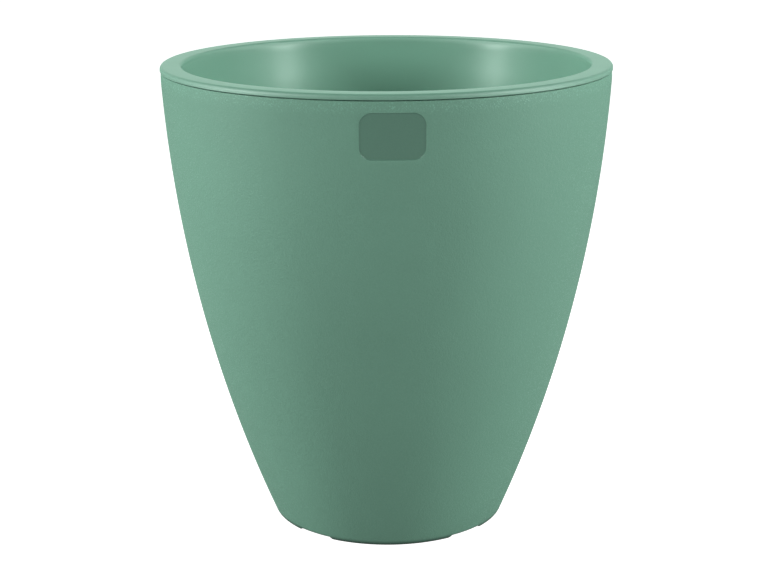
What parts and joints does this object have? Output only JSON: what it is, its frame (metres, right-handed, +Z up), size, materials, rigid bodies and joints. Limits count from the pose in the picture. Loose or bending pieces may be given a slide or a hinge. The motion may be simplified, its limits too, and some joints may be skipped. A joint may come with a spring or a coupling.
{
  "type": "florist bucket",
  "caption": "Tall tapered florist bucket: a grained outer shell on a notched foot ring, with a smooth lift-out water liner and a flat rim.",
  "frame": {"origin": "centre of the foot ring on the ground", "axes": "+Z up along the bucket's axis, -Y towards the plain marking field on the front, +X to the viewer's right"},
  "size_m": [0.32, 0.32, 0.335],
  "materials": {
    "grained_green": "fine spark-eroded grain, matte, sage green",
    "smooth_green": "smooth, semi-gloss, sage green"
  },
  "bodies": {
    "shell": {"outer_shell": "grained_green"},
    "liner": {"inner_liner": "smooth_green"}
  },
  "joints": [
    {"name": "liner_lift", "type": "slide", "parent": "shell", "child": "liner", "axis": [0, 0, 1], "range_m": [0, 0.36]}
  ]
}
